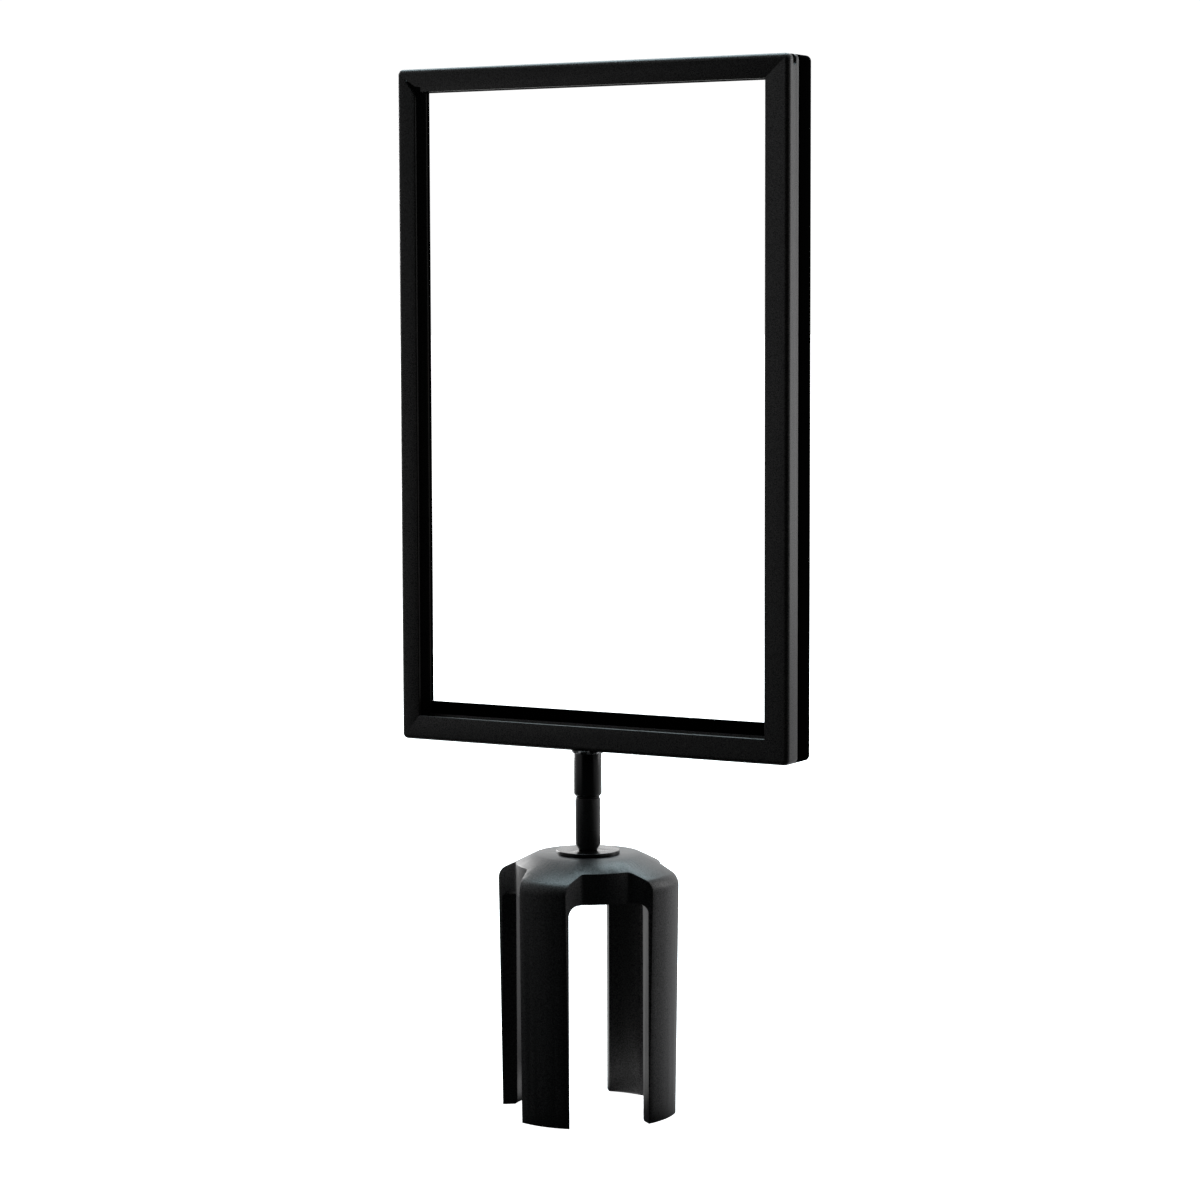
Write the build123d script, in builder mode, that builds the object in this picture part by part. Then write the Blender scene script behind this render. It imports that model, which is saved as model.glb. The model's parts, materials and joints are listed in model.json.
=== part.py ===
from build123d import *
import os

os.makedirs("parts", exist_ok=True)

# Millimetres. The origin is on the stem axis, level with the ends of the four legs.
# +Z is up and the sign faces -Y.

# --- sign frame -----------------------------------------------------------------
sign_width = 177.8                  # a 7 by 11 inch card
sign_height = 279.4
frame_width = sign_width + 12.7
frame_height = sign_height + 12.7
frame_centre_x = 3.9                # the stem was fixed a little to one side of the middle
frame_front_y = -6.0                # the stem stands under the channel, not under its face
stem_top = 156.5                    # underside of the frame
frame_centre_z = stem_top + frame_height / 2
corner_radius = 2.5

# Folded channel, open towards the card. The stock is sheared, so its four faces differ.
channel_depth = 10.2
sheet = 1.2
bend_radius = 1.9
lip_radius = 0.35
channel_faces = {"left": 9.2, "right": 11.1, "top": 10.0, "bottom": 10.6}

# The card drops in through a slot in the top web, which runs a little way down the stiles.
slot_width = 3.0
slot_depth = 5.1
slot_drop = 4.8

# Soft black angle round the back of the channel.
trim_depth = 10.7
trim_rim = 2.0
trim_sheet = 1.6
trim_edge_radius = 1.2
trim_faces = {"left": 9.3, "right": 11.1, "top": 9.5, "bottom": 16.1}

weld_leg = 2.0                      # beads inside the four corners of the channel
weld_slot_gap = 0.4                 # between those beads and the card slot

# --- stem -----------------------------------------------------------------------
stud_radius = 3.0
stud_bottom = 97.5
stud_top = 151.5
stud_tip = 0.6
running_clearance = 0.05            # radial, between the stud and the ferrule
hole_clearance = 0.2

washer_radius = 13.7
washer_thickness = 1.7
standoff_radius = 5.4
standoff_foot_radius = 3.9
standoff_foot_height = 2.4
standoff_height = 22.4
standoff_rim_round = 0.3
swivel_washer_radius = 5.0
swivel_washer_thickness = 0.9
ferrule_radius = 6.0
ferrule_chamfer = 0.9
ferrule_end_room = 1.0              # above the stud
weld_width = 1.0                    # bead round the top of the ferrule
weld_height = 1.1

# --- adapter cap ----------------------------------------------------------------
cap_height = 111.7
cap_disc_radius = 23.0
cap_shoulder_radius = 40.0
cap_foot_radius = 38.3
cap_shoulder_round = 6.0
cap_disc_round = 1.5
cap_slope = 0.5                     # fall of the dome per unit of radius
cap_plate = 3.4
post_radius = 32.4                  # the four legs slip over a post this size
post_stop = 94.5                    # the post's rim meets the cap here
cap_wall_inner = 28.0
cap_wall_outer = 31.0               # round wall at the back of each belt window
leg_lead_in = 0.8
foot_round = 0.5

window_wall_angle = 19.5            # half angle of that wall
window_mouth = (34.8, 18.7)         # where its cheeks come out: along and across the diagonal
window_blend = 3.0
slot_half_width = 17.5              # belt slot, at the outside of the cap
slot_inner_half_width = 16.7        # the same, at the bore
slot_corner = 4.5
leg_corner = 1.2
beyond = 8.0                        # how far a cutter runs past what it cuts

# --- hardware under the cap -----------------------------------------------------
under_washer_radius = 8.0
under_washer_thickness = 1.2
lock_washer_radius = 5.4
lock_washer_thickness = 1.6
lock_washer_split = 1.0
nut_across_flats = 10.0
nut_height = 5.2
nut_chamfer = 0.5
nut_chamfer_width = 1.2

# --- levels worked out from the sizes above -------------------------------------
cap_washer_top = cap_height + washer_thickness
standoff_top = cap_washer_top + standoff_height
ferrule_bottom = standoff_top + swivel_washer_thickness
under_washer_top = cap_height - cap_plate
lock_washer_top = under_washer_top - under_washer_thickness
nut_top = lock_washer_top - lock_washer_thickness
frame_top = stem_top + frame_height
frame_depth = channel_depth + trim_depth


def save(builder, label):
    """Label a finished piece and write it as its own STEP file."""
    builder.part.label = label
    export_step(builder.part, f"parts/{label}.step")


def frame_plane(depth):
    """Plane that faces the reader of the sign, this far behind the front of the frame."""
    return Plane(
        origin=(frame_centre_x, frame_front_y + depth, frame_centre_z),
        x_dir=(1, 0, 0),
        z_dir=(0, -1, 0),
    )


def mitre_point(side, level, faces, reach):
    """Point on a mitre line: reach 0 is the outer corner, and 1 the corner of the opening."""
    across = faces["left" if side < 0 else "right"]
    down = faces["bottom" if level < 0 else "top"]
    return (
        side * (frame_width / 2 - reach * across),
        level * (frame_height / 2 - reach * down),
    )


def opening_points(faces):
    """Four corners of the opening, in order round it."""
    return [mitre_point(s, v, faces, 1) for s, v in ((-1, 1), (1, 1), (1, -1), (-1, -1))]


rail_ends = {
    "left": ((-1, 1), (-1, -1)),
    "right": ((1, -1), (1, 1)),
    "top": ((1, 1), (-1, 1)),
    "bottom": ((-1, -1), (1, -1)),
}


def rail_points(rail, faces):
    """Outline that holds one rail between its two mitres, with room on both sides of it."""
    (s1, v1), (s2, v2) = rail_ends[rail]
    outer, inner = -0.3, 1.5
    return [
        mitre_point(s1, v1, faces, outer),
        mitre_point(s1, v1, faces, inner),
        mitre_point(s2, v2, faces, inner),
        mitre_point(s2, v2, faces, outer),
    ]


def lip_edge(rail):
    """Front edge of a rail's lip: of its edges in the front plane, the nearest to the opening."""
    middle = (frame_centre_x, frame_front_y, frame_centre_z)
    return rail.edges().group_by(Axis.Y)[0].sort_by_distance(middle)[0]


# --- channel, as one ring before the mitres -------------------------------------
with BuildPart() as channel_ring:
    with BuildSketch(frame_plane(0)):
        RectangleRounded(frame_width, frame_height, corner_radius)
    extrude(amount=-channel_depth)
    outer_edges = channel_ring.edges().group_by(Axis.Y)
    fillet(outer_edges[0] + outer_edges[-1], bend_radius)
    with BuildSketch(frame_plane(0)):
        Polygon(*opening_points(channel_faces), align=None)
    extrude(amount=-channel_depth, mode=Mode.SUBTRACT)
    with BuildSketch(frame_plane(sheet)):
        RectangleRounded(frame_width - 2 * sheet, frame_height - 2 * sheet, corner_radius - sheet)
    extrude(amount=-(channel_depth - 2 * sheet), mode=Mode.SUBTRACT)
    slot_end = (frame_front_y + slot_depth, frame_top - slot_drop + slot_width / 2)
    with BuildSketch(Plane.YZ.offset(frame_centre_x)):
        with Locations(slot_end):
            Circle(slot_width / 2)
            Rectangle(slot_width, slot_drop + beyond, align=(Align.CENTER, Align.MIN))
    extrude(amount=frame_width / 2 + beyond, both=True, mode=Mode.SUBTRACT)

# Both rails were snipped short at the top left, which leaves that mitre open at its inner
# corner. Each outline gives distances to the right of and below the frame's corner.
stile_snip = [(3.6, 3.8), (9.8, 9.6), (9.8, 12.2), (9.2, 12.0), (7.9, 9.9), (6.6, 8.2), (4.9, 6.1)]
rail_snip = [(3.5, 4.1), (4.6, 4.5), (9.4, 7.5), (12.2, 7.9), (12.5, 12.0), (6.0, 12.0)]


def snip_points(outline):
    """A snip's outline, measured from the middle of the frame."""
    return [(x - frame_width / 2, frame_height / 2 - down) for x, down in outline]


for rail, label in (("left", "left_stile"), ("right", "right_stile"), ("bottom", "bottom_rail")):
    with BuildPart() as channel_rail:
        add(channel_ring.part)
        with BuildSketch(frame_plane(-beyond)):
            Polygon(*rail_points(rail, channel_faces), align=None)
        extrude(amount=-(channel_depth + 2 * beyond), mode=Mode.INTERSECT)
        fillet(lip_edge(channel_rail), lip_radius)
        if rail == "left":
            with BuildSketch(frame_plane(-1)):
                Polygon(*snip_points(stile_snip), align=None)
            extrude(amount=-(1 + sheet), mode=Mode.SUBTRACT)
    save(channel_rail, label)

# The slot parts the top rail into a front and a rear strip.
with BuildPart() as top_rail_front:
    add(channel_ring.part)
    with BuildSketch(frame_plane(-beyond)):
        Polygon(*rail_points("top", channel_faces), align=None)
    extrude(amount=-(beyond + slot_depth), mode=Mode.INTERSECT)
    fillet(lip_edge(top_rail_front), lip_radius)
    with BuildSketch(frame_plane(-1)):
        Polygon(*snip_points(rail_snip), align=None)
    extrude(amount=-(1 + sheet), mode=Mode.SUBTRACT)
save(top_rail_front, "top_rail_front")

with BuildPart() as top_rail_rear:
    add(channel_ring.part)
    with BuildSketch(frame_plane(slot_depth)):
        Polygon(*rail_points("top", channel_faces), align=None)
    extrude(amount=-channel_depth, mode=Mode.INTERSECT)
save(top_rail_rear, "top_rail_rear")

# --- beads in the inner corners of the channel, clear of the card slot -----------
with BuildPart() as corner_welds:
    with BuildSketch(frame_plane(sheet)):
        with GridLocations(frame_width - 2 * sheet, frame_height - 2 * sheet, 2, 2):
            Rectangle(weld_leg * 2**0.5, weld_leg * 2**0.5, rotation=45)
        RectangleRounded(
            frame_width - 2 * sheet,
            frame_height - 2 * sheet,
            corner_radius - sheet,
            mode=Mode.INTERSECT,
        )
    extrude(amount=-(channel_depth - 2 * sheet))
    with BuildSketch(Plane.XZ.offset(-(frame_front_y + slot_depth))):
        with Locations((frame_centre_x, frame_top)):
            Rectangle(frame_width, 4 * weld_leg)
    extrude(amount=slot_width / 2 + weld_slot_gap, both=True, mode=Mode.SUBTRACT)
save(corner_welds, "corner_welds")

# --- rear trim ------------------------------------------------------------------
with BuildPart() as trim_ring:
    with BuildSketch(frame_plane(channel_depth)):
        RectangleRounded(frame_width, frame_height, corner_radius)
    extrude(amount=-trim_depth)
    fillet(trim_ring.edges().group_by(Axis.Y)[-1], trim_edge_radius)
    with BuildSketch(frame_plane(channel_depth)):
        Polygon(*opening_points(trim_faces), align=None)
    extrude(amount=-trim_depth, mode=Mode.SUBTRACT)
    with BuildSketch(frame_plane(channel_depth + trim_sheet)):
        Rectangle(frame_width - 2 * trim_rim, frame_height - 2 * trim_rim)
    extrude(amount=-trim_depth, mode=Mode.SUBTRACT)

for rail in rail_ends:
    with BuildPart() as trim_strip:
        add(trim_ring.part)
        with BuildSketch(frame_plane(channel_depth - 1)):
            Polygon(*rail_points(rail, trim_faces), align=None)
        extrude(amount=-(trim_depth + 2), mode=Mode.INTERSECT)
    save(trim_strip, f"rear_trim_{rail}")

# --- ferrule and its weld -------------------------------------------------------
with BuildPart() as ferrule:
    with BuildSketch(Plane.XY.offset(ferrule_bottom)):
        Circle(ferrule_radius)
    extrude(amount=stem_top - ferrule_bottom)
    chamfer(ferrule.edges().group_by(Axis.Z)[0], ferrule_chamfer)
    with BuildSketch(Plane.XY.offset(ferrule_bottom)):
        Circle(stud_radius + running_clearance)
    extrude(amount=stud_top + ferrule_end_room - ferrule_bottom, mode=Mode.SUBTRACT)
save(ferrule, "ferrule")

with BuildPart() as ferrule_weld:
    with BuildSketch(Plane.XZ):
        with BuildLine():
            foot = (ferrule_radius, stem_top - weld_height)
            toe = (ferrule_radius + weld_width, stem_top)
            Line((ferrule_radius, stem_top), foot)
            RadiusArc(foot, toe, -weld_width * 1.3)
            Line(toe, (ferrule_radius, stem_top))
        make_face()
    revolve(axis=Axis.Z)
save(ferrule_weld, "ferrule_weld")

# --- stud, standoff and washers -------------------------------------------------
with BuildPart() as threaded_stud:
    with BuildSketch(Plane.XY.offset(stud_bottom)):
        Circle(stud_radius)
    extrude(amount=stud_top - stud_bottom)
    ends = threaded_stud.edges().group_by(Axis.Z)
    chamfer(ends[0] + ends[-1], stud_tip)
save(threaded_stud, "threaded_stud")

with BuildPart() as standoff:
    with BuildSketch(Plane.XZ):
        Polygon(
            (stud_radius, cap_washer_top),
            (standoff_foot_radius, cap_washer_top),
            (standoff_radius, cap_washer_top + standoff_foot_height),
            (standoff_radius, standoff_top),
            (stud_radius, standoff_top),
            align=None,
        )
    revolve(axis=Axis.Z)
    rim = standoff.edges().group_by(Axis.Z)[-1].sort_by(SortBy.RADIUS)[-1]
    fillet(rim, standoff_rim_round)
save(standoff, "standoff")


def washer(bottom, thickness, radius, hole_radius, edge_radius):
    """Flat ring with its outer edges broken."""
    with BuildPart() as ring:
        with BuildSketch(Plane.XY.offset(bottom)):
            Circle(radius)
            Circle(hole_radius, mode=Mode.SUBTRACT)
        extrude(amount=thickness)
        fillet(ring.edges().filter_by(GeomType.CIRCLE).sort_by(SortBy.RADIUS)[-2:], edge_radius)
    return ring


stud_hole = stud_radius + hole_clearance
save(
    washer(standoff_top, swivel_washer_thickness, swivel_washer_radius, stud_hole, 0.15),
    "swivel_washer",
)
save(washer(cap_height, washer_thickness, washer_radius, stud_hole, 0.3), "cap_washer")
save(
    washer(lock_washer_top, under_washer_thickness, under_washer_radius, stud_hole, 0.2),
    "under_washer",
)

with BuildPart() as lock_washer:
    with BuildSketch(Plane.XY.offset(nut_top)):
        Circle(lock_washer_radius)
        Circle(stud_hole, mode=Mode.SUBTRACT)
        with Locations((lock_washer_radius, 0)):
            Rectangle(lock_washer_radius, lock_washer_split, rotation=15, mode=Mode.SUBTRACT)
    extrude(amount=lock_washer_thickness)
save(lock_washer, "lock_washer")

with BuildPart() as hex_nut:
    with BuildSketch(Plane.XY.offset(nut_top - nut_height)):
        RegularPolygon(nut_across_flats / 2, 6, major_radius=False)
    extrude(amount=nut_height)
    with BuildSketch(Plane.XZ):
        corner = nut_across_flats / 3**0.5
        Polygon(
            (0, nut_top - nut_height),
            (corner - nut_chamfer_width, nut_top - nut_height),
            (corner, nut_top - nut_height + nut_chamfer),
            (corner, nut_top - nut_chamfer),
            (corner - nut_chamfer_width, nut_top),
            (0, nut_top),
            align=None,
        )
    revolve(axis=Axis.Z, mode=Mode.INTERSECT)
    with BuildSketch(Plane.XY.offset(nut_top - nut_height)):
        Circle(stud_radius)
    extrude(amount=nut_height, mode=Mode.SUBTRACT)
save(hex_nut, "hex_nut")

# --- adapter cap ----------------------------------------------------------------
# One window: a round-backed recess with splayed cheeks from top to bottom, and the belt
# slot below it. It is drawn along +X, and four copies stand on the cap's diagonals.
with BuildPart() as window_cutter:
    with BuildSketch(Plane.YZ.offset(cap_wall_inner - beyond)) as slot_front:
        with Locations((0, post_stop)):
            Rectangle(2 * slot_half_width, post_stop + beyond, align=(Align.CENTER, Align.MAX))
        with Locations((0, 0)):
            Rectangle(
                2 * (slot_half_width + beyond), beyond, align=(Align.CENTER, Align.MAX)
            )
        fillet(slot_front.vertices().group_by(Axis.Y)[-1], slot_corner)
        leg_ends = [
            vertex
            for vertex in slot_front.vertices()
            if abs(vertex.Y) < 0.01 and abs(vertex.X) < slot_half_width + 1
        ]
        fillet(leg_ends, leg_corner)
    extrude(amount=cap_shoulder_radius - cap_wall_inner + 2 * beyond)
    draft = (slot_half_width - slot_inner_half_width) / (window_mouth[0] - cap_wall_inner)
    near = cap_wall_inner - beyond
    far = cap_shoulder_radius + beyond
    near_half = slot_inner_half_width - draft * beyond
    far_half = near_half + draft * (far - near)
    with BuildSketch(Plane.XY.offset(-2 * beyond)):
        Polygon(
            (near, near_half), (far, far_half), (far, -far_half), (near, -near_half), align=None
        )
    extrude(amount=cap_height + 4 * beyond, mode=Mode.INTERSECT)
    with BuildSketch(Plane.XY.offset(-beyond)) as recess:
        with BuildLine():
            wall = CenterArc((0, 0), cap_wall_outer, -window_wall_angle, 2 * window_wall_angle)
            low, high = wall @ 0, wall @ 1
            along = window_mouth[0] - high.X
            across = window_mouth[1] - high.Y
            reach = (far - high.X) / along
            mouth_high = (far, high.Y + reach * across)
            mouth_low = (far, low.Y - reach * across)
            Polyline(high, mouth_high, mouth_low, low)
        make_face()
        fillet(recess.vertices().group_by(Axis.X)[0], window_blend)
    extrude(amount=cap_height + 2 * beyond)

with BuildPart() as adapter_cap:
    with BuildSketch(Plane.XZ) as cap_profile:
        shoulder_height = cap_height - cap_slope * (cap_shoulder_radius - cap_disc_radius)
        plate_bottom = cap_height - cap_plate
        cap_slope_drop = cap_slope * (cap_wall_inner - cap_disc_radius)
        Polygon(
            (stud_hole, cap_height),
            (cap_disc_radius, cap_height),
            (cap_shoulder_radius, shoulder_height),
            (cap_foot_radius, 0),
            (post_radius + leg_lead_in, 0),
            (post_radius, leg_lead_in),
            (post_radius, post_stop),
            (cap_wall_inner, post_stop),
            (cap_wall_inner, plate_bottom - cap_slope_drop),
            (cap_disc_radius, plate_bottom),
            (stud_hole, plate_bottom),
            align=None,
        )
        corners = cap_profile.vertices()
        shoulder = corners.sort_by_distance((cap_shoulder_radius, shoulder_height, 0))[0]
        disc_edge = corners.sort_by_distance((cap_disc_radius, cap_height, 0))[0]
        foot_edge = corners.sort_by_distance((cap_foot_radius, 0, 0))[0]
        fillet(shoulder, cap_shoulder_round)
        fillet(disc_edge, cap_disc_round)
        fillet(foot_edge, foot_round)
    revolve(axis=Axis.Z)
    with PolarLocations(0, 4, start_angle=45):
        add(window_cutter.part, mode=Mode.SUBTRACT)
save(adapter_cap, "adapter_cap")
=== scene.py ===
"""Looks of a post-top sign frame: coated steel channel, matte trim, stem and moulded cap."""

import json
import logging
import math
from dataclasses import dataclass, field
from enum import Enum

import bmesh
import bpy
from mathutils import Matrix, Vector

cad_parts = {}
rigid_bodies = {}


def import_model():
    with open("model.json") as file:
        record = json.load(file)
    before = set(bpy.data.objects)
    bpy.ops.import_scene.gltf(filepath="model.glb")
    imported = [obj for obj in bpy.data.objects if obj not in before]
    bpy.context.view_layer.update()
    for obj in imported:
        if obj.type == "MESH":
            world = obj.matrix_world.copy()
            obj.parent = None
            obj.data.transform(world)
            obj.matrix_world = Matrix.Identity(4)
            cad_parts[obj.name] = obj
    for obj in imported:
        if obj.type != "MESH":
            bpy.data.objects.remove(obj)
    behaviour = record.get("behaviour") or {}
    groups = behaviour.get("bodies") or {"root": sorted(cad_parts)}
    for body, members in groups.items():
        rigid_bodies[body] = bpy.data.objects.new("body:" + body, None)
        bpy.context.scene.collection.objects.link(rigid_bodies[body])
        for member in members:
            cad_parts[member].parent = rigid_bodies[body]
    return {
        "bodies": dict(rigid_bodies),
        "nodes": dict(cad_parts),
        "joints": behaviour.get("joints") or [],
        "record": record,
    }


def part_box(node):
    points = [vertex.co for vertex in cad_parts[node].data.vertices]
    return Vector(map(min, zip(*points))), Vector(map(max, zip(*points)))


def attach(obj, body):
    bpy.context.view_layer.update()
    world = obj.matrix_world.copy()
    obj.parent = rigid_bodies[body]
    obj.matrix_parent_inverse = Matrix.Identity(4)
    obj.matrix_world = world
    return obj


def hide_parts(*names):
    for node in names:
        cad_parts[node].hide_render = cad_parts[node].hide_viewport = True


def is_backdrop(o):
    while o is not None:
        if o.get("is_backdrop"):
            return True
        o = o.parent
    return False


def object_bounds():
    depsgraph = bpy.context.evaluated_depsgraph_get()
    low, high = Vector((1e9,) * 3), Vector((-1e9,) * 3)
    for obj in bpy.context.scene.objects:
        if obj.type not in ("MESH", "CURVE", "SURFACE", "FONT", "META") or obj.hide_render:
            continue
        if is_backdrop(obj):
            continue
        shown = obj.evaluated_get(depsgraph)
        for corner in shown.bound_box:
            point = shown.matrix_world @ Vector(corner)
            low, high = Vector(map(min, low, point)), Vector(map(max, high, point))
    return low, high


log = logging.getLogger("sign_frame")
MM = 0.001
# The range that most of a noise's values fall in.
NOISE_SPREAD = (0.3, 0.7)
# Places of the two colours and of their mix on a colour Mix node.
MIX_UNDER = 6
MIX_OVER = 7
MIX_COLOUR = 2


class Body(Enum):
    """The two rigid bodies of the object."""

    ADAPTER = "adapter"
    FRAME = "sign_frame"


class Slot(Enum):
    """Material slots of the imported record."""

    COAT = "satin_black_steel"
    TRIM = "matte_black_trim"
    STEM = "gloss_black_stem"
    NYLON = "black_nylon"
    PLASTIC = "moulded_black_plastic"
    ZINC = "zinc_steel"


# --- node material helpers --------------------------------------------------------


class Shader:
    """A Principled material that is being built on Object coordinates."""

    def __init__(self, name: str) -> None:
        """Start an empty material.

        Args:
            name: The material's name.
        """
        self.material = bpy.data.materials.new(name)
        self.material.use_nodes = True
        self.nodes = self.material.node_tree.nodes
        self.links = self.material.node_tree.links
        self.surface = self.nodes["Principled BSDF"]
        self.place = self.nodes.new("ShaderNodeTexCoord").outputs["Object"]

    def set(self, **values: object) -> None:
        """Set constants on the shader's own sockets; underscores stand for spaces."""
        for key, value in values.items():
            self.surface.inputs[key.replace("_", " ")].default_value = value

    def stretched(self, scale: tuple[float, float, float]) -> bpy.types.NodeSocket:
        """Object coordinates scaled by axis, which draws a pattern out along the small one.

        Args:
            scale: Factor along each axis.

        Returns:
            The coordinates' socket.
        """
        mapping = self.nodes.new("ShaderNodeMapping")
        mapping.inputs["Scale"].default_value = scale
        self.links.new(self.place, mapping.inputs["Vector"])
        return mapping.outputs["Vector"]

    def noise(
        self, scale: float, detail: float = 2.0, rough: float = 0.5, place: object = None
    ) -> bpy.types.NodeSocket:
        """Noise from 0 to 1.

        Args:
            scale: Features per metre.
            detail: Octaves.
            rough: Weight of the finer octaves.
            place: Coordinates, or None for the object's own.

        Returns:
            The noise's value socket.
        """
        node = self.nodes.new("ShaderNodeTexNoise")
        node.inputs["Scale"].default_value = scale
        node.inputs["Detail"].default_value = detail
        node.inputs["Roughness"].default_value = rough
        self.links.new(place or self.place, node.inputs["Vector"])
        return node.outputs["Fac"]

    def cells(self, scale: float) -> bpy.types.NodeSocket:
        """Distance to the nearest of many scattered points, in cell widths.

        Args:
            scale: Points per metre.

        Returns:
            The distance's socket.
        """
        node = self.nodes.new("ShaderNodeTexVoronoi")
        node.inputs["Scale"].default_value = scale
        self.links.new(self.place, node.inputs["Vector"])
        return node.outputs["Distance"]

    def facing(self, axis: str) -> bpy.types.NodeSocket:
        """The normal's part along one of the object's own axes, from -1 to 1.

        Args:
            axis: X, Y or Z.

        Returns:
            The part's socket.
        """
        turned = self.nodes.new("ShaderNodeVectorTransform")
        turned.vector_type = "NORMAL"
        turned.convert_from = "WORLD"
        turned.convert_to = "OBJECT"
        self.links.new(self.nodes.new("ShaderNodeNewGeometry").outputs["Normal"], turned.inputs[0])
        split = self.nodes.new("ShaderNodeSeparateXYZ")
        self.links.new(turned.outputs[0], split.inputs[0])
        return split.outputs[axis]

    def upright(self) -> bpy.types.NodeSocket:
        """1 on walls, 0 on faces that look up or down."""
        return self.span(self.combine("ABSOLUTE", self.facing("Z"), 0.0), 0.15, 0.4, 1.0, 0.0)

    def span(
        self, value: bpy.types.NodeSocket, low: float, high: float, to_low: float, to_high: float
    ) -> bpy.types.NodeSocket:
        """Map a value's range low..high to to_low..to_high, clamped.

        Args:
            value: The value.
            low: Where its range starts.
            high: Where its range ends.
            to_low: What it becomes at the start.
            to_high: What it becomes at the end.

        Returns:
            The new value's socket.
        """
        node = self.nodes.new("ShaderNodeMapRange")
        ends = {"From Min": low, "From Max": high, "To Min": to_low, "To Max": to_high}
        for socket, number in ends.items():
            node.inputs[socket].default_value = number
        self.links.new(value, node.inputs["Value"])
        return node.outputs["Result"]

    def spread(self, noise: bpy.types.NodeSocket, low: float, high: float) -> bpy.types.NodeSocket:
        """Map the range that most of a noise falls in to low..high, clamped."""
        return self.span(noise, *NOISE_SPREAD, low, high)

    def combine(
        self, how: str, first: bpy.types.NodeSocket, second: object
    ) -> bpy.types.NodeSocket:
        """Math of two values.

        Args:
            how: The operation.
            first: The first value.
            second: The second value's socket, or a number.

        Returns:
            The result's socket.
        """
        node = self.nodes.new("ShaderNodeMath")
        node.operation = how
        self.links.new(first, node.inputs[0])
        if isinstance(second, float):
            node.inputs[1].default_value = second
        else:
            self.links.new(second, node.inputs[1])
        return node.outputs[0]

    def tint(
        self, amount: bpy.types.NodeSocket, low: tuple[float, ...], high: tuple[float, ...]
    ) -> bpy.types.NodeSocket:
        """Colour between two tones.

        Args:
            amount: 0 for the low tone, 1 for the high one.
            low: The low tone.
            high: The high tone.

        Returns:
            The colour's socket.
        """
        node = self.nodes.new("ShaderNodeMix")
        node.data_type = "RGBA"
        self.links.new(amount, node.inputs["Factor"])
        node.inputs[MIX_UNDER].default_value = (*low, 1.0)
        node.inputs[MIX_OVER].default_value = (*high, 1.0)
        return node.outputs[MIX_COLOUR]

    def overlay(
        self, amount: bpy.types.NodeSocket, under: bpy.types.NodeSocket, over: tuple[float, ...]
    ) -> bpy.types.NodeSocket:
        """One even colour laid over another.

        Args:
            amount: How much it covers, from 0 to 1.
            under: The colour below.
            over: The even colour.

        Returns:
            The colour's socket.
        """
        node = self.nodes.new("ShaderNodeMix")
        node.data_type = "RGBA"
        self.links.new(amount, node.inputs["Factor"])
        self.links.new(under, node.inputs[MIX_UNDER])
        node.inputs[MIX_OVER].default_value = (*over, 1.0)
        return node.outputs[MIX_COLOUR]

    def drive(self, socket: str, value: bpy.types.NodeSocket) -> None:
        """Connect a pattern to one of the shader's inputs."""
        self.links.new(value, self.surface.inputs[socket])

    def relief(self, height: bpy.types.NodeSocket, depth: float, strength: float = 1.0) -> None:
        """Add a bump over the ones that are there.

        Args:
            height: The pattern of its height.
            depth: Its depth in metres.
            strength: How much of it shows, from 0 to 1.
        """
        node = self.nodes.new("ShaderNodeBump")
        node.inputs["Distance"].default_value = depth
        node.inputs["Strength"].default_value = strength
        self.links.new(height, node.inputs["Height"])
        last = self.surface.inputs["Normal"]
        if last.is_linked:
            self.links.new(last.links[0].from_socket, node.inputs["Normal"])
        self.links.new(node.outputs["Normal"], last)


def grey(value: float) -> tuple[float, float, float]:
    """A neutral tone that leans very slightly to blue."""
    return (value, value * 1.01, value * 1.04)


@dataclass(frozen=True)
class PowderCoat:
    """Satin black powder coat: a fine dimpled skin with a few specks of dust.

    Painted shade: on a stile, the cut edges and the inside, which look toward the opening, lose almost all
    their reflection and stay dark.
    Its painted shade side is 1 where those look along +X and -1 where they look along -X.
    """

    name: str = "satin_powder_coat"
    painted_shade_side: float = 0.0
    tone: float = 0.0048
    roughness: float = 0.4
    grain_per_m: float = 2300.0
    cloud_per_m: float = 90.0
    dimple_depth: float = 0.03 * MM
    ripple_per_m: float = 520.0
    specks_per_m: float = 420.0
    dust_patch_per_m: float = 160.0
    dust_tone: float = 0.05

    def build(self) -> bpy.types.Material:
        """Make the material.

        Returns:
            The material.
        """
        s = Shader(self.name)
        s.set(IOR=1.5)
        fine = s.noise(self.grain_per_m, detail=3.0, rough=0.6)
        broad = s.noise(self.cloud_per_m, detail=2.0)
        speck = s.span(s.cells(self.specks_per_m), 0.03, 0.07, 1.0, 0.0)
        rare = s.span(s.noise(self.dust_patch_per_m, detail=0.0), 0.60, 0.66, 0.0, 1.0)
        dust = s.combine("MULTIPLY", speck, rare)
        mottled = s.combine("ADD", s.spread(fine, 0.0, 0.55), s.spread(broad, 0.0, 0.3))
        cool = (self.tone * 0.08, self.tone * 0.12, self.tone * 0.2)
        warm = (self.tone * 3.5, self.tone * 3.2, self.tone * 2.8)
        body = s.tint(mottled, cool, warm)
        s.drive("Base Color", s.overlay(dust, body, grey(self.dust_tone)))
        s.drive("Roughness", s.spread(fine, self.roughness - 0.06, self.roughness + 0.08))
        shine_and_painted_shade = s.span(fine, 0.32, 0.68, 0.12, 0.92)
        # Painted shade: reflection drops to almost nothing on the faces that look toward the opening.
        if self.painted_shade_side:
            inward = s.combine("MULTIPLY", s.facing("X"), self.painted_shade_side)
            shine_and_painted_shade = s.combine("MULTIPLY", shine_and_painted_shade, s.span(inward, 0.45, 0.75, 1.0, 0.03))
        s.drive("Specular IOR Level", shine_and_painted_shade)
        s.relief(fine, self.dimple_depth, 0.5)
        s.relief(s.noise(self.ripple_per_m, detail=1.0), self.dimple_depth, 0.35)
        return s.material


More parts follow.
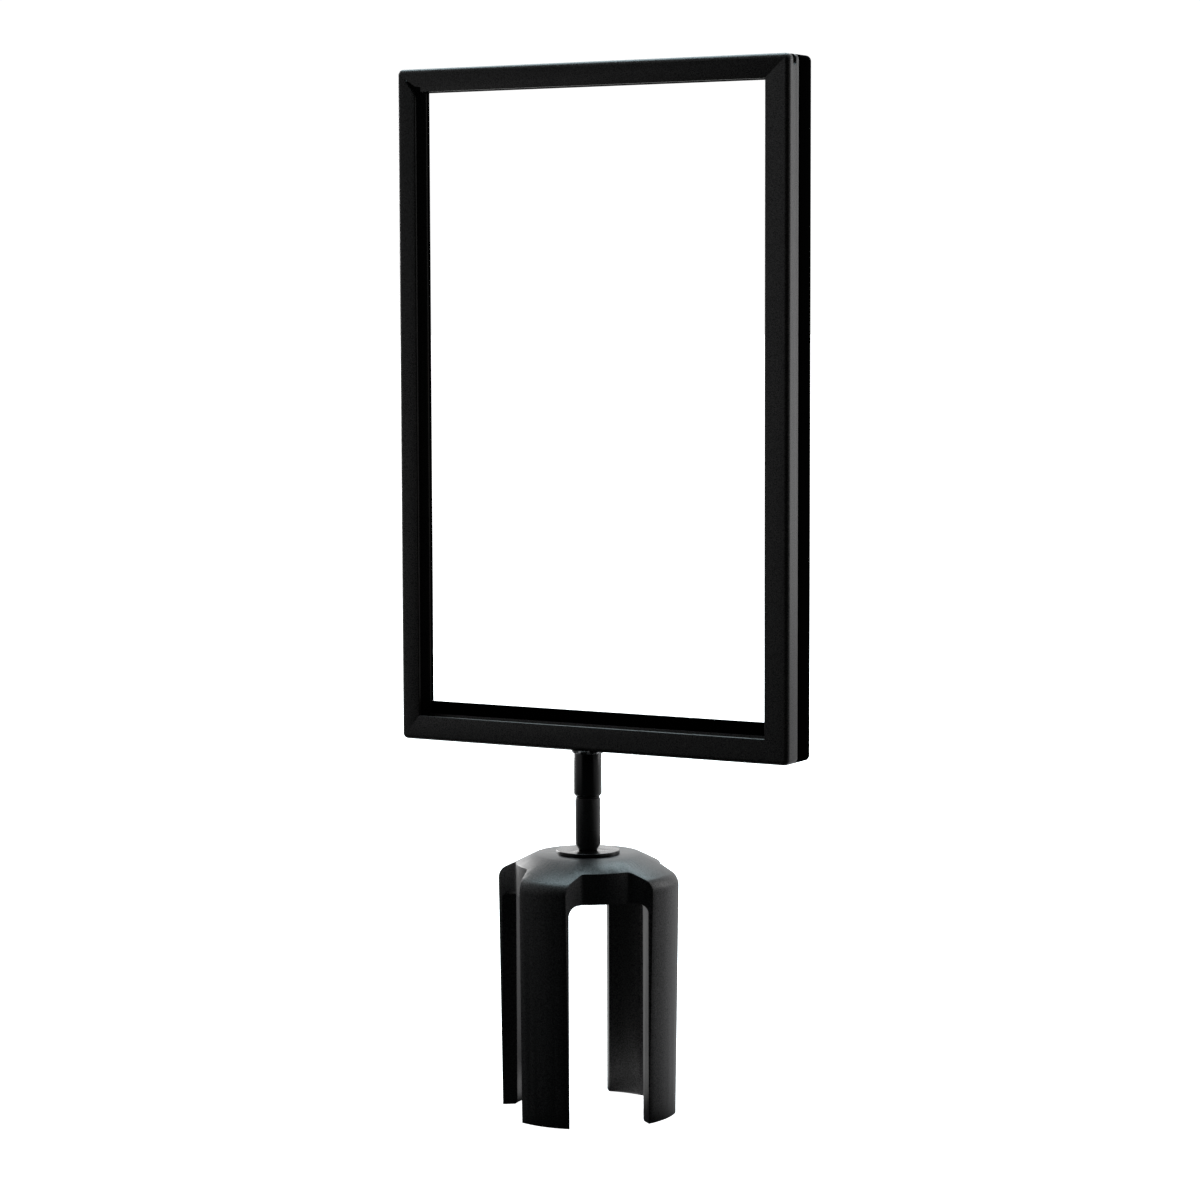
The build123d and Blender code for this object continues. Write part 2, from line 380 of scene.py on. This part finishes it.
@dataclass(frozen=True)
class PaintedShadeTrim:
    """Black trim, partly painted shade: colour and reflection held near zero, so it stays as dark as deep
    shade under any light; a faint extruded grain.
    """

    tone: float = 0.00012
    grain_per_m: float = 1100.0

    def build(self) -> bpy.types.Material:
        """Make the material.

        Returns:
            The material.
        """
        s = Shader("painted_shade_trim")
        # Painted shade: reflection and colour are held near zero so the trim stays as black as deep shade.
        s.set(IOR=1.2, Specular_IOR_Level=0.02)
        fine = s.noise(self.grain_per_m, detail=2.0)
        s.drive("Base Color", s.tint(fine, grey(self.tone * 0.4), grey(self.tone * 2.0)))
        s.drive("Roughness", s.spread(fine, 0.85, 1.0))
        s.relief(fine, 0.02 * MM, 0.5)
        return s.material


@dataclass(frozen=True)
class StemPaint:
    """Semi-gloss black paint over turned steel, with faint turning marks."""

    name: str = "stem_paint"
    tone: float = 0.0004
    roughness: float = 0.2
    grain_per_m: float = 1800.0
    turning_per_m: float = 2600.0

    def build(self) -> bpy.types.Material:
        """Make the material.

        Returns:
            The material.
        """
        s = Shader(self.name)
        s.set(IOR=1.5)
        fine = s.noise(self.grain_per_m, detail=3.0, rough=0.6)
        rings = s.noise(self.turning_per_m, detail=1.0, place=s.stretched((0.06, 0.06, 1.0)))
        mottled = s.span(fine, 0.35, 0.65, 0.0, 1.0)
        s.drive("Base Color", s.tint(mottled, grey(self.tone * 0.5), grey(self.tone * 2.4)))
        s.drive("Roughness", s.spread(fine, self.roughness - 0.05, self.roughness + 0.08))
        s.relief(rings, 0.012 * MM, 0.4)
        s.relief(fine, 0.02 * MM, 0.4)
        return s.material


@dataclass(frozen=True)
class WeldPaint:
    """Thin black paint over a weld bead, worn through to bright metal in a few spots."""

    tone: float = 0.002
    bare_tone: float = 0.5
    grain_per_m: float = 1500.0
    bare_patch_per_m: float = 330.0

    def build(self) -> bpy.types.Material:
        """Make the material.

        Returns:
            The material.
        """
        s = Shader("weld_paint")
        fine = s.noise(self.grain_per_m, detail=3.0)
        worn = s.span(s.noise(self.bare_patch_per_m, detail=1.0), 0.52, 0.58, 0.0, 1.0)
        s.drive("Base Color", s.tint(worn, grey(self.tone), grey(self.bare_tone)))
        s.drive("Metallic", worn)
        s.drive("Roughness", s.spread(fine, 0.2, 0.42))
        s.relief(fine, 0.03 * MM, 0.6)
        return s.material


@dataclass(frozen=True)
class CapPlastic:
    """Black moulded plastic: fine spark texture, rubbed streaks down the legs, light scuffs."""

    tone: float = 0.006
    roughness: float = 0.42
    grain_per_m: float = 1700.0
    grain_depth: float = 0.03 * MM
    cloud_per_m: float = 55.0
    streak_per_m: float = 240.0
    ripple_per_m: float = 420.0
    scuff_per_m: float = 130.0
    scuff_tone: float = 0.03
    scuff_cover: float = 0.35

    def build(self) -> bpy.types.Material:
        """Make the material.

        Returns:
            The material.
        """
        s = Shader("moulded_plastic")
        s.set(IOR=1.5)
        fine = s.noise(self.grain_per_m, detail=3.0, rough=0.65)
        cloud = s.noise(self.cloud_per_m, detail=3.0)
        streak = s.noise(self.streak_per_m, detail=2.0, place=s.stretched((1.0, 1.0, 0.045)))
        streak = s.combine("MULTIPLY", streak, s.upright())
        tone = s.combine("ADD", s.spread(fine, 0.0, 0.4), s.spread(cloud, 0.0, 0.3))
        tone = s.combine("ADD", tone, s.span(streak, 0.42, 0.7, 0.0, 0.3))
        scuff = s.noise(self.scuff_per_m, detail=5.0, rough=0.7, place=s.stretched((1.0, 1.0, 1.6)))
        rubbed = s.span(scuff, 0.62, 0.72, 0.0, 1.0)
        body = s.tint(tone, grey(self.tone * 0.55), grey(self.tone * 1.9))
        cover = s.combine("MULTIPLY", rubbed, self.scuff_cover)
        s.drive("Base Color", s.overlay(cover, body, grey(self.scuff_tone)))
        rough = s.spread(fine, self.roughness - 0.05, self.roughness + 0.06)
        polish = s.span(streak, 0.4, 0.7, -0.05, 0.05)
        s.drive("Roughness", s.combine("ADD", rough, polish))
        s.drive("Specular IOR Level", s.span(fine, 0.32, 0.68, 0.2, 0.85))
        s.relief(fine, self.grain_depth, 0.55)
        s.relief(s.noise(self.ripple_per_m, detail=1.0), self.grain_depth, 0.25)
        return s.material


@dataclass(frozen=True)
class Zinc:
    """Bright zinc plate with a soft spangle."""

    tone: float = 0.55
    roughness: float = 0.32
    spangle_per_m: float = 900.0

    def build(self) -> bpy.types.Material:
        """Make the material.

        Returns:
            The material.
        """
        s = Shader("zinc_plate")
        s.set(Metallic=1.0)
        fine = s.noise(self.spangle_per_m, detail=3.0)
        s.drive("Base Color", s.tint(fine, grey(self.tone * 0.75), grey(self.tone * 1.15)))
        s.drive("Roughness", s.spread(fine, self.roughness - 0.08, self.roughness + 0.12))
        s.relief(fine, 0.015 * MM, 0.4)
        return s.material


@dataclass(frozen=True)
class Nylon:
    """Smooth black nylon."""

    tone: float = 0.003
    grain_per_m: float = 1400.0

    def build(self) -> bpy.types.Material:
        """Make the material.

        Returns:
            The material.
        """
        s = Shader("black_nylon")
        s.set(IOR=1.45, Specular_IOR_Level=0.3)
        fine = s.noise(self.grain_per_m, detail=2.0)
        s.drive("Base Color", s.tint(fine, grey(self.tone * 0.6), grey(self.tone * 1.8)))
        s.drive("Roughness", s.spread(fine, 0.4, 0.55))
        s.relief(fine, 0.01 * MM, 0.3)
        return s.material


# --- geometry node helpers --------------------------------------------------------


class Tree:
    """A Geometry Nodes tree with named sizes, run once on an empty mesh."""

    def __init__(self, name: str) -> None:
        """Start an empty tree.

        Args:
            name: The tree's name.
        """
        self.group = bpy.data.node_groups.new(name, "GeometryNodeTree")
        self.group.interface.new_socket(name="Geometry", in_out="OUTPUT", socket_type="NodeSocketGeometry")
        self.source = self.group.nodes.new("NodeGroupInput")
        self.sizes: dict[str, float] = {}

    def size(self, name: str, value: float) -> bpy.types.NodeSocket:
        """Add a named input and return its socket.

        Args:
            name: The input's name.
            value: What the finished piece is made with.

        Returns:
            The input's socket inside the tree.
        """
        socket = self.group.interface.new_socket(name=name, in_out="INPUT", socket_type="NodeSocketFloat")
        self.sizes[socket.identifier] = value
        return self.source.outputs[name]

    def node(self, kind: str, **values: object) -> bpy.types.Node:
        """Add a node and set its inputs.

        Args:
            kind: The node's kind, without its geometry prefix.
            **values: Constants by the input's name.

        Returns:
            The node.
        """
        full = kind if kind.startswith("ShaderNode") else f"GeometryNode{kind}"
        made = self.group.nodes.new(full)
        for key, value in values.items():
            made.inputs[key].default_value = value
        return made

    def value(self, number: float) -> bpy.types.NodeSocket:
        """A constant.

        Args:
            number: Its value.

        Returns:
            Its socket.
        """
        made = self.group.nodes.new("ShaderNodeValue")
        made.outputs[0].default_value = number
        return made.outputs[0]

    def math(
        self, how: str, first: bpy.types.NodeSocket, second: object = None
    ) -> bpy.types.NodeSocket:
        """Math of one or two values.

        Args:
            how: The operation.
            first: The first value.
            second: The second value's socket, a number, or None where there is none.

        Returns:
            The result's socket.
        """
        made = self.group.nodes.new("ShaderNodeMath")
        made.operation = how
        self.group.links.new(first, made.inputs[0])
        if isinstance(second, float):
            made.inputs[1].default_value = second
        elif second is not None:
            self.group.links.new(second, made.inputs[1])
        return made.outputs[0]

    def join(self, value: bpy.types.NodeSocket, node: bpy.types.Node, socket: str) -> None:
        """Connect a value to a node's input."""
        self.group.links.new(value, node.inputs[socket])

    def swept(
        self, path: bpy.types.NodeSocket, profile: bpy.types.NodeSocket, scale: bpy.types.NodeSocket | None
    ) -> bpy.types.NodeSocket:
        """A profile swept along a path, with closed ends.

        Args:
            path: The path's curve.
            profile: The profile's curve.
            scale: The profile's scale along the path, or None for an even one.

        Returns:
            The mesh socket.
        """
        made = self.node("CurveToMesh")
        made.inputs["Fill Caps"].default_value = True
        if scale is not None:
            if "Scale" in made.inputs:
                self.join(scale, made, "Scale")
            else:
                radii = self.node("SetCurveRadius")
                self.join(path, radii, "Curve")
                self.join(scale, radii, "Radius")
                path = radii.outputs["Curve"]
        self.join(path, made, "Curve")
        self.join(profile, made, "Profile Curve")
        return made.outputs["Mesh"]

    def finish(
        self, shape: bpy.types.NodeSocket, material: bpy.types.Material, name: str
    ) -> bpy.types.Object:
        """End the tree, run it and keep the result as plain mesh.

        Args:
            shape: The finished geometry's socket.
            material: The piece's finish.
            name: The new piece's name.

        Returns:
            The new piece.
        """
        whole = self.node("RealizeInstances")
        self.join(shape, whole, "Geometry")
        paint = self.node("SetMaterial", Material=material)
        self.join(whole.outputs["Geometry"], paint, "Geometry")
        out = self.group.nodes.new("NodeGroupOutput")
        self.group.links.new(paint.outputs["Geometry"], out.inputs["Geometry"])
        piece = bpy.data.objects.new(name, bpy.data.meshes.new(name))
        bpy.context.scene.collection.objects.link(piece)
        modifier = piece.modifiers.new("tree", "NODES")
        modifier.node_group = self.group
        for identifier, number in self.sizes.items():
            modifier[identifier] = number
        baked(piece, smooth_deg=50.0)
        dress(piece, material)
        return piece


# --- mesh helpers -----------------------------------------------------------------


def dress(piece: bpy.types.Object, material: bpy.types.Material) -> None:
    """Give a piece one material and nothing else."""
    piece.data.materials.clear()
    piece.data.materials.append(material)


def softened(
    node: bpy.types.Object, name: str, width: float, segments: int = 3, sharp_deg: float = 32.0
) -> bpy.types.Object:
    """A copy of a CAD node with its edges broken, as coating and moulding leave them.

    Args:
        node: The CAD node.
        name: The new piece's name.
        width: Width of the broken edge in metres.
        segments: Facets across it.
        sharp_deg: Edges that turn more than this are broken.

    Returns:
        The new piece, as a plain mesh at the origin.
    """
    mesh = bmesh.new()
    mesh.from_mesh(node.data)
    bmesh.ops.remove_doubles(mesh, verts=mesh.verts, dist=0.002 * MM)
    bmesh.ops.dissolve_limit(
        mesh, angle_limit=math.radians(0.5), verts=mesh.verts, edges=mesh.edges, delimit={"NORMAL"}
    )
    data = bpy.data.meshes.new(name)
    mesh.to_mesh(data)
    mesh.free()
    piece = bpy.data.objects.new(name, data)
    bpy.context.scene.collection.objects.link(piece)
    bevel = piece.modifiers.new("broken_edges", "BEVEL")
    bevel.width = width
    bevel.segments = segments
    bevel.limit_method = "ANGLE"
    bevel.angle_limit = math.radians(sharp_deg)
    bevel.use_clamp_overlap = True
    bevel.harden_normals = False
    return baked(piece, smooth_deg=sharp_deg)


def baked(piece: bpy.types.Object, smooth_deg: float = 35.0) -> bpy.types.Object:
    """Turn a piece's modifiers into plain mesh.

    Args:
        piece: The piece.
        smooth_deg: Edges that turn less than this are shaded smooth.

    Returns:
        The same piece.
    """
    graph = bpy.context.evaluated_depsgraph_get()
    graph.update()
    made = bpy.data.meshes.new_from_object(piece.evaluated_get(graph))
    piece.modifiers.clear()
    piece.data = made
    shade(piece, smooth_deg)
    return piece


def shade(piece: bpy.types.Object, smooth_deg: float) -> None:
    """Shade a piece smooth.

    Args:
        piece: The piece.
        smooth_deg: Edges that turn more than this stay sharp.
    """
    mesh = bmesh.new()
    mesh.from_mesh(piece.data)
    for face in mesh.faces:
        face.smooth = True
    limit = math.radians(smooth_deg)
    for edge in mesh.edges:
        edge.smooth = len(edge.link_faces) == 2 and edge.calc_face_angle(0.0) < limit
    mesh.to_mesh(piece.data)
    mesh.free()


def ready(piece: bpy.types.Object, body: Body, slot: Slot, *nodes: str) -> None:
    """Hang a finished piece on its body and hide the CAD nodes it stands for.

    Args:
        piece: The finished piece.
        body: The body it moves with.
        slot: Not used.
        *nodes: The CAD nodes that it stands for.
    """
    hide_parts(*nodes)
    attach(piece, body.value)
    log.info("%s stands for %s: %d faces", piece.name, ", ".join(nodes), len(piece.data.polygons))


# --- sub-assemblies ---------------------------------------------------------------


@dataclass
class Finishes:
    """One material for each slot."""

    made: dict[Slot, bpy.types.Material] = field(default_factory=dict)

    def build(self) -> None:
        """Make every finish once."""
        for slot, finish in (
            (Slot.COAT, PowderCoat()),
            (Slot.TRIM, PaintedShadeTrim()),
            (Slot.STEM, StemPaint()),
            (Slot.NYLON, Nylon()),
            (Slot.PLASTIC, CapPlastic()),
            (Slot.ZINC, Zinc()),
        ):
            self.made[slot] = finish.build()

    def dress_nodes(self, frame: dict) -> None:
        """Give every CAD node the finish of its own slot."""
        for entry in frame["record"]["subparts"]:
            dress(frame["nodes"][entry["node"]], self.made[Slot(entry["material_slot"])])


@dataclass
class SignFrame:
    """Channel rails and rear trim."""

    edge: float = 0.22 * MM
    trim_edge: float = 0.3 * MM

    def build(self, frame: dict, finishes: Finishes) -> None:
        """Break the edges of every rail and strip.

        Args:
            frame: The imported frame.
            finishes: The finishes by slot.
        """
        # Copies of the coat for the stiles, with painted shade on the faces that look into the opening.
        coat = {
            "left_stile": PowderCoat("left_stile_painted_shade_coat", painted_shade_side=1.0).build(),
            "right_stile": PowderCoat("right_stile_painted_shade_coat", painted_shade_side=-1.0).build(),
        }
        for node in ("left_stile", "right_stile", "bottom_rail", "top_rail_front", "top_rail_rear"):
            piece = softened(frame["nodes"][node], f"coated_{node}", self.edge)
            dress(piece, coat.get(node, finishes.made[Slot.COAT]))
            ready(piece, Body.FRAME, Slot.COAT, node)
        for side in ("left", "right", "top", "bottom"):
            node = f"rear_trim_{side}"
            piece = softened(frame["nodes"][node], f"soft_{node}", self.trim_edge)
            dress(piece, finishes.made[Slot.TRIM])
            ready(piece, Body.FRAME, Slot.TRIM, node)


@dataclass
class Stem:
    """Turned pieces between the cap and the frame, the weld bead and the stud."""

    edge: float = 0.18 * MM
    standoff_tone: float = 0.009
    standoff_roughness: float = 0.32
    bead_thickness: float = 0.75 * MM
    bead_reach: float = 0.15 * MM
    bead_drop: float = 0.45 * MM
    bead_steps: int = 276
    bead_sides: int = 14
    bead_ripples: int = 23
    ripple_depth: float = 0.16
    swell_per_m: float = 330.0
    swell_share: float = 1.6
    swell_middle: float = 1.2
    thread_pitch: float = 1.0 * MM
    thread_depth: float = 0.42 * MM
    thread_steps: int = 24
    plain_ends: float = 2.0 * MM
    core_sides: int = 48
    ridge_sides: int = 6
    ridge_share: float = 0.6

    def build(self, frame: dict, finishes: Finishes) -> None:
        """Soften the turned pieces and make the bead and the thread.

        Args:
            frame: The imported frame.
            finishes: The finishes by slot.
        """
        nodes = frame["nodes"]
        satin = StemPaint("satin_stem_paint", self.standoff_tone, self.standoff_roughness).build()
        for node, body, slot in (
            ("ferrule", Body.FRAME, Slot.STEM),
            ("standoff", Body.ADAPTER, Slot.STEM),
            ("cap_washer", Body.ADAPTER, Slot.STEM),
            ("under_washer", Body.ADAPTER, Slot.ZINC),
            ("lock_washer", Body.ADAPTER, Slot.ZINC),
            ("hex_nut", Body.ADAPTER, Slot.ZINC),
        ):
            piece = softened(nodes[node], f"turned_{node}", self.edge)
            dress(piece, satin if node == "standoff" else finishes.made[slot])
            ready(piece, body, slot, node)
        self.bead()
        self.thread(finishes)

    def bead(self) -> None:
        """A rippled bead round the top of the ferrule, which follows a circle."""
        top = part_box("ferrule_weld")[1].z
        ferrule_low, ferrule_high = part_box("ferrule")
        ferrule_radius = (ferrule_high.x - ferrule_low.x) / 2
        material = WeldPaint().build()
        tree = Tree("weld_bead")
        radius = tree.size("Radius", ferrule_radius + self.bead_reach)
        thickness = tree.size("Thickness", self.bead_thickness)
        ripples = tree.size("Ripples", float(self.bead_ripples))
        depth = tree.size("Depth", self.ripple_depth)
        ring = tree.node("CurvePrimitiveCircle", Resolution=self.bead_steps)
        tree.join(radius, ring, "Radius")
        along = tree.node("SplineParameter")
        wave = tree.math("MULTIPLY", tree.math("MULTIPLY", along.outputs["Factor"], ripples), math.pi)
        scallop = tree.math("ABSOLUTE", tree.math("SINE", wave))
        uneven = tree.node("ShaderNodeTexNoise", Scale=self.swell_per_m, Detail=1.0)
        lumps = tree.math("MULTIPLY", uneven.outputs["Fac"], self.swell_share)
        swell = tree.math("SUBTRACT", tree.math("ADD", scallop, lumps), self.swell_middle)
        swell = tree.math("MULTIPLY", swell, depth)
        size = tree.math("ADD", swell, 1.0)
        profile = tree.node("CurvePrimitiveCircle", Resolution=self.bead_sides)
        tree.join(thickness, profile, "Radius")
        sweep = tree.swept(ring.outputs["Curve"], profile.outputs["Curve"], size)
        lift = tree.node("Transform", Translation=(0.0, 0.0, top - self.bead_drop))
        tree.join(sweep, lift, "Geometry")
        piece = tree.finish(lift.outputs["Geometry"], material, "rippled_weld")
        ready(piece, Body.FRAME, Slot.STEM, "ferrule_weld")

    def thread(self, finishes: Finishes) -> None:
        """The stud: a core with a ridge that winds up it.

        Args:
            finishes: The finishes by slot.
        """
        low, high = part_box("threaded_stud")
        outside = (high.x - low.x) / 2
        length = high.z - low.z
        tree = Tree("stud_thread")
        pitch = tree.size("Pitch", self.thread_pitch)
        depth = tree.size("Depth", self.thread_depth)
        reach = tree.size("Reach", outside)
        core = tree.node("MeshCylinder", Vertices=self.core_sides, Depth=length)
        tree.join(tree.math("SUBTRACT", reach, depth), core, "Radius")
        run = length - self.plain_ends
        winding = tree.node("CurveSpiral", Resolution=self.thread_steps, Height=run)
        tree.join(tree.math("DIVIDE", tree.value(run), pitch), winding, "Rotations")
        ridge_radius = tree.math("MULTIPLY", depth, self.ridge_share)
        middle = tree.math("SUBTRACT", reach, ridge_radius)
        tree.join(middle, winding, "Start Radius")
        tree.join(middle, winding, "End Radius")
        ridge = tree.node("CurvePrimitiveCircle", Resolution=self.ridge_sides)
        tree.join(ridge_radius, ridge, "Radius")
        sweep = tree.swept(winding.outputs["Curve"], ridge.outputs["Curve"], None)
        down = tree.node("Transform", Translation=(0.0, 0.0, -run / 2))
        tree.join(sweep, down, "Geometry")
        both = tree.node("JoinGeometry")
        tree.join(core.outputs["Mesh"], both, "Geometry")
        tree.join(down.outputs["Geometry"], both, "Geometry")
        lift = tree.node("Transform", Translation=(0.0, 0.0, (low.z + high.z) / 2))
        tree.join(both.outputs["Geometry"], lift, "Geometry")
        piece = tree.finish(lift.outputs["Geometry"], finishes.made[Slot.ZINC], "wound_thread")
        ready(piece, Body.ADAPTER, Slot.ZINC, "threaded_stud")


@dataclass
class Cap:
    """Moulded cap."""

    edge: float = 0.35 * MM
    sharp_deg: float = 38.0

    def build(self, frame: dict, finishes: Finishes) -> None:
        """Break the cap's edges as a mould leaves them.

        Args:
            frame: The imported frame.
            finishes: The finishes by slot.
        """
        node = frame["nodes"]["adapter_cap"]
        piece = softened(node, "moulded_cap", self.edge, sharp_deg=self.sharp_deg)
        dress(piece, finishes.made[Slot.PLASTIC])
        ready(piece, Body.ADAPTER, Slot.PLASTIC, "adapter_cap")


# --- stage ------------------------------------------------------------------------


def toward(
    nodes: bpy.types.Nodes, links: bpy.types.NodeLinks, place: bpy.types.NodeSocket, azimuth_deg: float
) -> bpy.types.NodeSocket:
    """How squarely a direction points to an azimuth, from -1 to 1.

    Args:
        nodes: Nodes of the tree that is being built.
        links: Its links.
        place: The direction, of any length.
        azimuth_deg: The azimuth.

    Returns:
        The value's socket.
    """
    level = nodes.new("ShaderNodeVectorMath")
    level.operation = "NORMALIZE"
    links.new(place, level.inputs[0])
    part = nodes.new("ShaderNodeVectorMath")
    part.operation = "DOT_PRODUCT"
    a = math.radians(azimuth_deg)
    part.inputs[1].default_value = (math.sin(a), -math.cos(a), 0.0)
    links.new(level.outputs["Vector"], part.inputs[0])
    return part.outputs["Value"]


@dataclass(frozen=True)
class Softbox:
    """A rectangular soft light that faces a point."""

    name: str
    place: tuple[float, float, float]
    aim: tuple[float, float, float]
    size: tuple[float, float]
    power: float
    tint: tuple[float, float, float] = (1.0, 1.0, 1.0)

    def build(self) -> None:
        """Hang the light."""
        data = bpy.data.lights.new(self.name, "AREA")
        data.shape = "RECTANGLE"
        data.size, data.size_y = self.size
        data.energy = self.power
        data.color = self.tint
        lamp = bpy.data.objects.new(self.name, data)
        lamp.location = self.place
        way = Vector(self.aim) - Vector(self.place)
        lamp.rotation_euler = way.to_track_quat("-Z", "Y").to_euler()
        bpy.context.scene.collection.objects.link(lamp)


@dataclass
class Studio:
    """Pale floor, soft light and the camera."""

    azimuth_deg: float = 30.0
    elevation_deg: float = 4.96
    roll_deg: float = -0.17
    distance: float = 1.4363
    lens_mm: float = 101.49
    aim_right: float = 5.9 * MM
    aim_down: float = 2.4 * MM
    sensor_mm: float = 36.0
    # The room is bright behind the object and dark round the lens: tone by turn from the back.
    room_light: float = 1.3
    room_tones: tuple[tuple[float, float], ...] = (
        (0.0, 1.0), (0.2, 0.55), (0.45, 0.28), (0.76, 0.21), (0.87, 0.0)
    )
    dark_azimuth_deg: float = 30.0
    paper_light: float = 1.05
    floor_radius: float = 40.0
    floor_gap: float = 0.01 * MM
    floor_tone: float = 0.94
    floor_bounce: float = 0.012
    # The floor's light round the object: distance where it starts and is full, lowest strength.
    floor_reach: tuple[float, float, float] = (0.3, 1.3, 0.05)
    # Its light beside the object: azimuth, cosine where it starts and is full, strength.
    floor_lobes: tuple[tuple[float, float, float, float], ...] = (
        (140.0, 0.55, 0.95, 1.35), (-125.0, 0.8, 0.97, 1.0)
    )
    middle: tuple[float, float, float] = (0.0, 0.0, 0.2)

    def room_tone(
        self, nodes: bpy.types.Nodes, links: bpy.types.NodeLinks, place: bpy.types.NodeSocket
    ) -> bpy.types.NodeSocket:
        """Tone of the room in a direction, by its turn away from the lens.

        Args:
            nodes: Nodes of the tree that is being built.
            links: Its links.
            place: The direction.

        Returns:
            The colour socket.
        """
        turn = nodes.new("ShaderNodeMapRange")
        turn.inputs["From Min"].default_value = -1.0
        links.new(toward(nodes, links, place, self.dark_azimuth_deg), turn.inputs["Value"])
        ramp = nodes.new("ShaderNodeValToRGB")
        stops = ramp.color_ramp.elements
        stops.remove(stops[1])
        for position, tone in self.room_tones[1:]:
            stops.new(position).color = (tone, tone, tone * 1.02, 1.0)
        stops[0].color = (*(self.room_tones[0][1],) * 3, 1.0)
        links.new(turn.outputs["Result"], ramp.inputs["Fac"])
        return ramp.outputs["Color"]

    def shade_under(self, s: Shader, seen: bpy.types.NodeSocket) -> bpy.types.NodeSocket:
        """Strength of the floor's light: weak beside the object, on the side of the lens.

        Args:
            s: The floor's shader.
            seen: 1 where the floor is seen directly.

        Returns:
            The strength socket.
        """
        far = s.nodes.new("ShaderNodeVectorMath")
        far.operation = "LENGTH"
        s.links.new(s.place, far.inputs[0])
        start, full, lowest = self.floor_reach
        strength = s.combine("MAXIMUM", s.span(far.outputs["Value"], start, full, lowest, 1.0), seen)
        for azimuth_deg, start, full, light in self.floor_lobes:
            side = toward(s.nodes, s.links, s.place, azimuth_deg)
            strength = s.combine("MAXIMUM", strength, s.span(side, start, full, 0.0, light))
        return strength

    def floor(self, low: float) -> None:
        """A wide pale disc just under the object.

        Args:
            low: Height of the object's lowest point.
        """
        mesh = bpy.data.meshes.new("floor")
        shape = bmesh.new()
        bmesh.ops.create_circle(shape, cap_ends=True, radius=self.floor_radius, segments=96)
        shape.to_mesh(mesh)
        shape.free()
        disc = bpy.data.objects.new("floor", mesh)
        disc.location.z = low - self.floor_gap
        bpy.context.scene.collection.objects.link(disc)
        s = Shader("pale_floor")
        s.set(Roughness=0.9, Specular_IOR_Level=0.1)
        seen = s.nodes.new("ShaderNodeLightPath").outputs["Is Camera Ray"]
        s.drive("Base Color", s.tint(seen, (self.floor_bounce,) * 3, (self.floor_tone,) * 3))
        room = self.room_tone(s.nodes, s.links, s.place)
        s.drive("Emission Color", s.overlay(seen, room, (1.0, 1.0, 1.0)))
        s.drive("Emission Strength", self.shade_under(s, seen))
        mesh.materials.append(s.material)
        disc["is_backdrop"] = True

    def camera(self, low: Vector, high: Vector, front: float) -> None:
        """The camera, aimed a little beside the middle of the object.

        Args:
            low: Lowest corner of the object.
            high: Highest corner.
            front: Y of the frame's front face.
        """
        a, e, r = (math.radians(x) for x in (self.azimuth_deg, self.elevation_deg, self.roll_deg))
        back = Vector((math.sin(a) * math.cos(e), -math.cos(a) * math.cos(e), math.sin(e)))
        right = Vector((math.cos(a), math.sin(a), 0.0))
        up = back.cross(right)
        turned = right * math.cos(r) + up * math.sin(r)
        upright = up * math.cos(r) - right * math.sin(r)
        middle = (low + high) / 2
        aim = Vector((middle.x + self.aim_right, front, middle.z - self.aim_down))
        data = bpy.data.cameras.new("camera")
        data.lens = self.lens_mm
        data.sensor_width = self.sensor_mm
        data.clip_start = 0.05
        data.clip_end = 200.0
        camera = bpy.data.objects.new("camera", data)
        facing = Matrix((turned, upright, back)).transposed().to_4x4()
        camera.matrix_world = Matrix.Translation(aim + back * self.distance) @ facing
        bpy.context.scene.collection.objects.link(camera)
        bpy.context.scene.camera = camera

    def surroundings(self) -> None:
        """A white room that is bright behind the object and dim on the reader's side."""
        world = bpy.data.worlds.new("room")
        bpy.context.scene.world = world
        world.use_nodes = True
        nodes, links = world.node_tree.nodes, world.node_tree.links
        nodes.clear()
        place = nodes.new("ShaderNodeTexCoord").outputs["Generated"]
        room = nodes.new("ShaderNodeBackground")
        room.inputs["Strength"].default_value = self.room_light
        links.new(self.room_tone(nodes, links, place), room.inputs["Color"])
        paper = nodes.new("ShaderNodeBackground")
        paper.inputs["Color"].default_value = (1.0, 1.0, 1.0, 1.0)
        paper.inputs["Strength"].default_value = self.paper_light
        seen = nodes.new("ShaderNodeLightPath").outputs["Is Camera Ray"]
        mix = nodes.new("ShaderNodeMixShader")
        links.new(seen, mix.inputs[0])
        links.new(room.outputs[0], mix.inputs[1])
        links.new(paper.outputs[0], mix.inputs[2])
        out = nodes.new("ShaderNodeOutputWorld")
        links.new(mix.outputs[0], out.inputs["Surface"])

    def build(self, low: Vector, high: Vector, front: float) -> None:
        """Set up floor, light and camera.

        Args:
            low: Lowest corner of the object.
            high: Highest corner.
            front: Y of the frame's front face.
        """
        self.floor(low.z)
        self.camera(low, high, front)
        self.surroundings()
        for softbox in (
            Softbox("overhead", (-0.4, 0.6, 1.9), self.middle, (1.8, 1.8), 52.0, (0.72, 0.93, 1.0)),
            Softbox("right_wall", (0.47, 0.5, 0.385), (0.1, 0.0, 0.385), (0.3, 0.5), 0.85),
            Softbox("left_wall", (-1.9, 1.0, 0.5), self.middle, (1.2, 1.6), 34.0),
        ):
            softbox.build()
        scene = bpy.context.scene
        scene.view_settings.view_transform = "Standard"
        scene.view_settings.look = "None"


def main() -> None:
    """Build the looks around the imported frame."""
    logging.basicConfig(level=logging.INFO, format="%(message)s")
    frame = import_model()
    cad_low, cad_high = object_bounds()
    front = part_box("left_stile")[0].y
    finishes = Finishes()
    finishes.build()
    finishes.dress_nodes(frame)
    SignFrame().build(frame, finishes)
    Stem().build(frame, finishes)
    Cap().build(frame, finishes)
    Studio().build(cad_low, cad_high, front)


if __name__ == "__main__":
    main()
